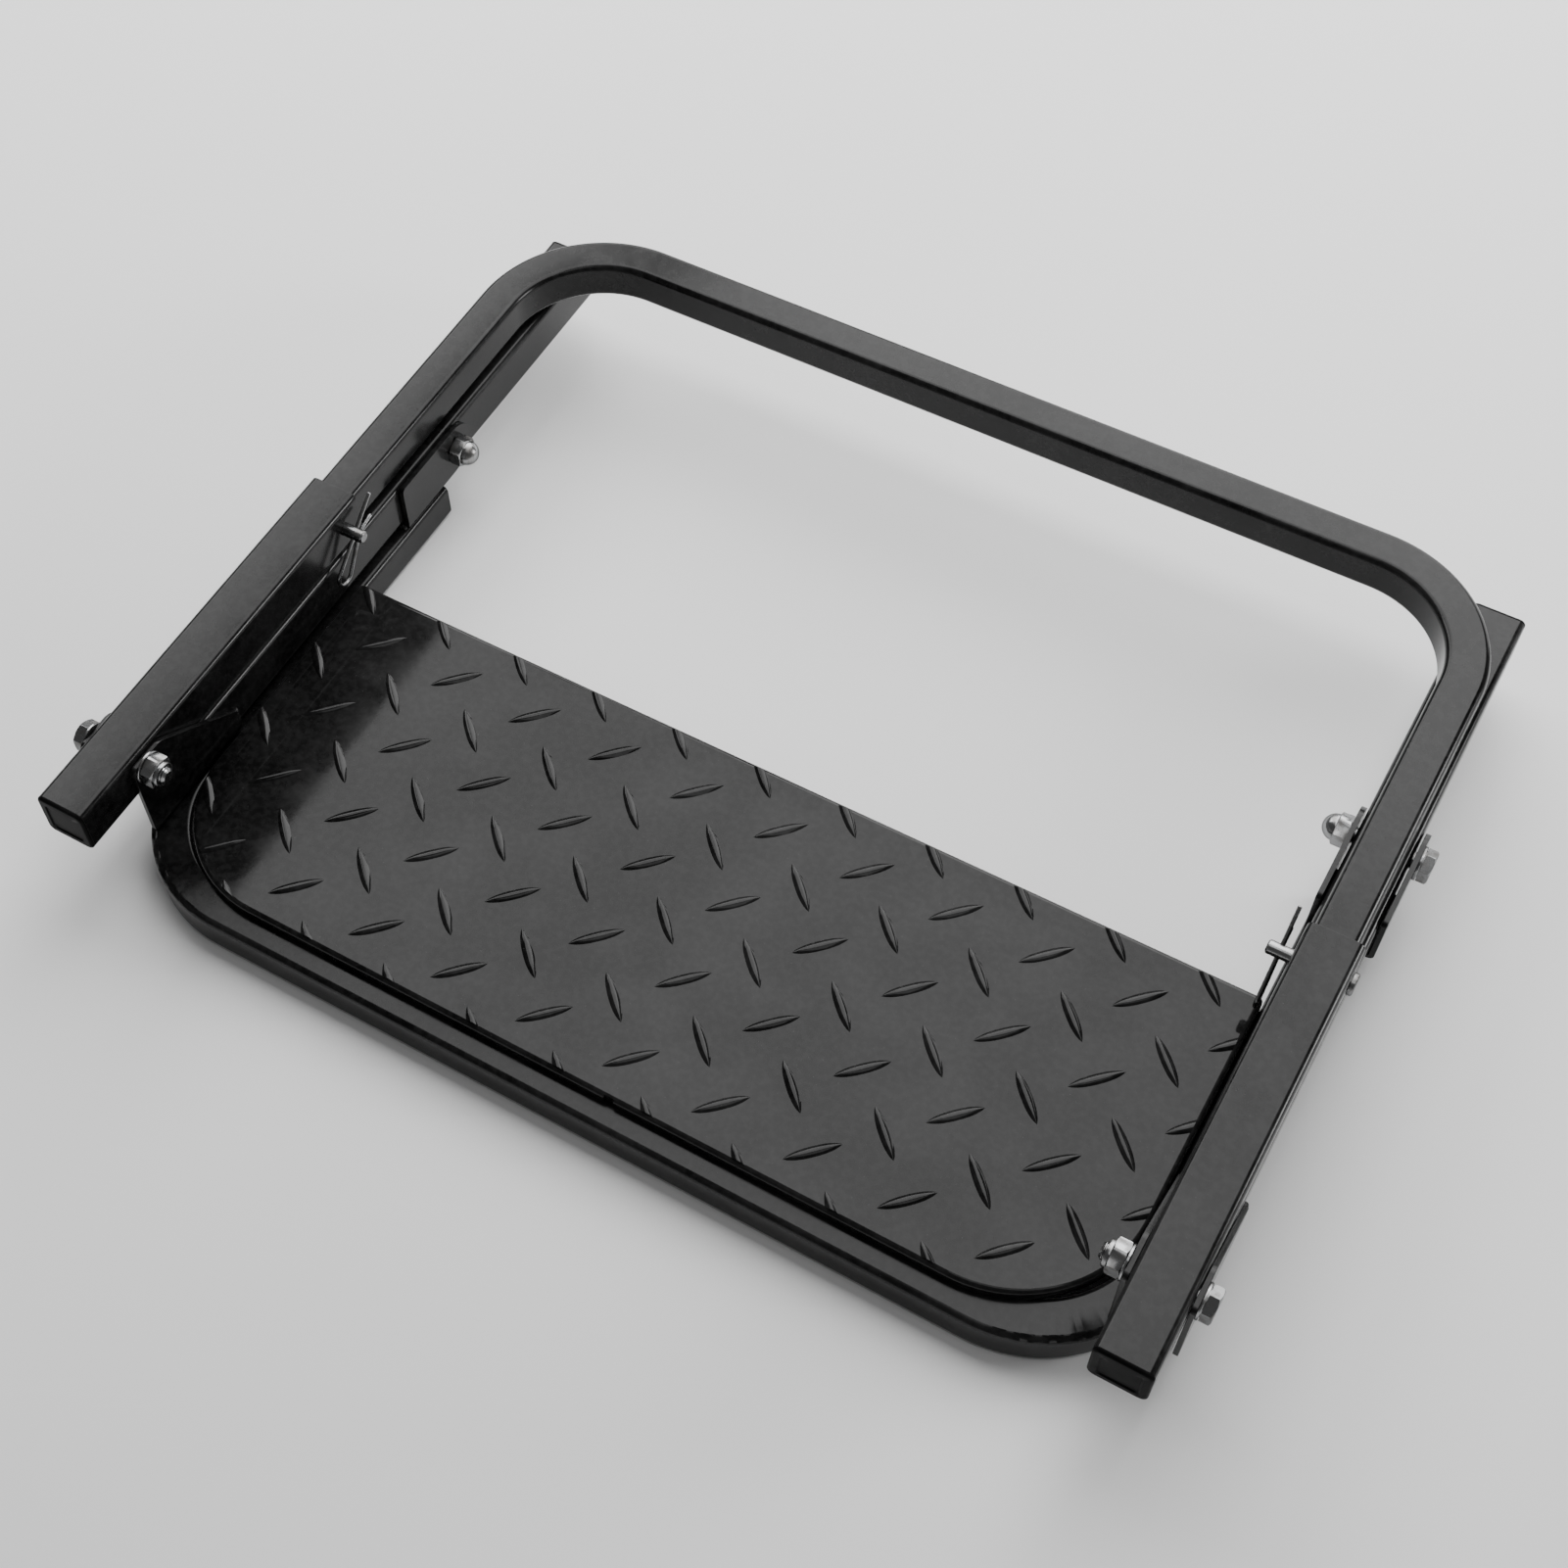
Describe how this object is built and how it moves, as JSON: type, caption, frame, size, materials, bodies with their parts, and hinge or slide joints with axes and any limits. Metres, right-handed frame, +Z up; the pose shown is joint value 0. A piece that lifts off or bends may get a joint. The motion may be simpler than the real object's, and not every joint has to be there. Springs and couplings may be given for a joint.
{
  "type": "folding tire step",
  "caption": "Folding step that hangs over a vehicle's tire: a tread plate in a bent tube rim, hinged legs, hinged arms and a sliding hook.",
  "frame": {"origin": "middle of the folded step's footprint, on the floor under the rim", "axes": "+X across the step to the right, +Y from the tread's front edge to the hook, +Z up"},
  "size_m": [0.6878, 0.5314, 0.0952],
  "materials": {
    "black_tube_paint": "gloss",
    "black_tread_paint": "gloss",
    "zinc_fastener": "zinc plated",
    "end_cap_plastic": "matte"
  },
  "bodies": {
    "deck": {"deck_plate": "black_tread_paint", "deck_rim": "black_tube_paint", "deck_cross_tube": "black_tube_paint", "rim_plug_left": "end_cap_plastic", "rim_plug_right": "end_cap_plastic", "hinge_bracket_left": "black_tube_paint", "hinge_bracket_right": "black_tube_paint", "deck_bolt_left": "zinc_fastener", "deck_bolt_right": "zinc_fastener", "deck_washer_left": "zinc_fastener", "deck_washer_right": "zinc_fastener", "deck_cap_nut_left": "zinc_fastener", "deck_cap_nut_right": "zinc_fastener"},
    "legs": {"leg_left": "black_tube_paint", "leg_right": "black_tube_paint", "leg_foot_cap_left": "end_cap_plastic", "leg_foot_cap_right": "end_cap_plastic", "leg_head_cap_left": "end_cap_plastic", "leg_head_cap_right": "end_cap_plastic", "arm_plate_left_inner": "black_tube_paint", "arm_plate_left_outer": "black_tube_paint", "arm_plate_right_inner": "black_tube_paint", "arm_plate_right_outer": "black_tube_paint", "arm_bolt_left": "zinc_fastener", "arm_bolt_right": "zinc_fastener", "arm_washers_left": "zinc_fastener", "arm_washers_right": "zinc_fastener", "arm_nut_left": "zinc_fastener", "arm_nut_right": "zinc_fastener"},
    "arms": {"sleeve_left": "black_tube_paint", "sleeve_right": "black_tube_paint", "sleeve_cap_left": "end_cap_plastic", "sleeve_cap_right": "end_cap_plastic", "lock_pin_left": "zinc_fastener", "lock_pin_right": "zinc_fastener", "r_clip_left": "zinc_fastener", "r_clip_right": "zinc_fastener"},
    "hook": {"hook_frame": "black_tube_paint"}
  },
  "joints": [
    {"name": "leg_fold", "type": "hinge", "parent": "deck", "child": "legs", "pos_m": [0, 0.09175, 0.045], "axis": [-1, 0, 0], "range_deg": [0, 90]},
    {"name": "arm_fold", "type": "hinge", "parent": "legs", "child": "arms", "pos_m": [0, -0.21375, 0.0805], "axis": [1, 0, 0], "range_deg": [0, 90]},
    {"name": "hook_slide", "type": "slide", "parent": "arms", "child": "hook", "axis": [0, 1, 0], "range_m": [0, 0.08]}
  ]
}
